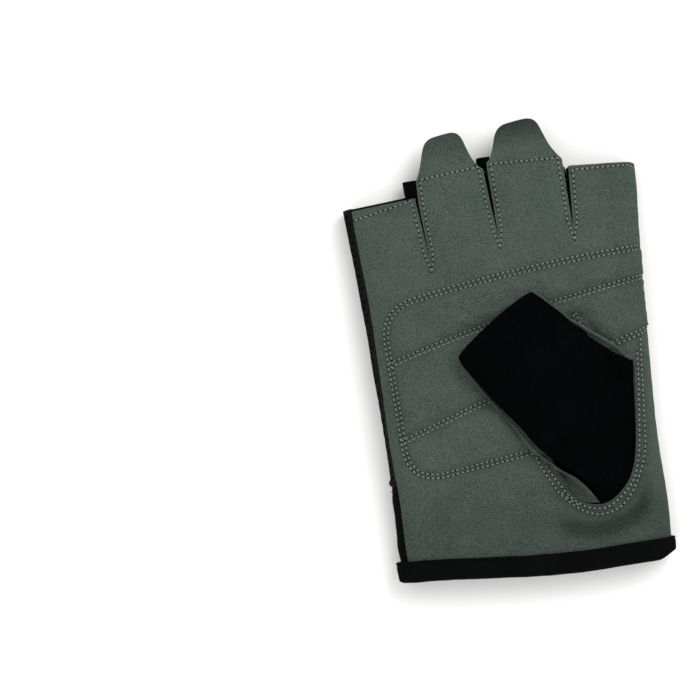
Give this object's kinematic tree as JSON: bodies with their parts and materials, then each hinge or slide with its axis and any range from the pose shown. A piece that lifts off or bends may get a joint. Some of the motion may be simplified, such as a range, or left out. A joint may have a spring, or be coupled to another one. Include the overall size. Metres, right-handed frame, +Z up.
{
  "type": "fingerless weightlifting glove",
  "caption": "Fingerless padded glove for a right hand, with a quilted suede palm, mesh back, thumb stall, pull tabs and an elastic-bound wrist.",
  "frame": {"origin": "on the surface that the glove lies on, under the middle of the palm", "axes": "+Z up out of the palm, +Y from the wrist to the fingertips, +X towards the thumb and index finger"},
  "size_m": [0.1082, 0.1663, 0.0282],
  "materials": {
    "suede": "matt, short nap",
    "spacer_mesh": "matt, knitted",
    "stretch_cloth": "smooth, slight sheen",
    "fleece": "matt, brushed",
    "elastic_binding": "ribbed, slight sheen"
  },
  "bodies": {
    "root": {"palm_panel": "suede", "back_mesh_panel": "spacer_mesh", "wrist_back_panel": "stretch_cloth", "fourchette_little_ring": "stretch_cloth", "fourchette_ring_middle": "stretch_cloth", "fourchette_middle_index": "stretch_cloth", "pull_tab_ring": "suede", "pull_tab_middle": "suede", "thumb_back": "fleece", "thumb_front": "suede", "cuff_binding": "elastic_binding"}
  },
  "joints": []
}
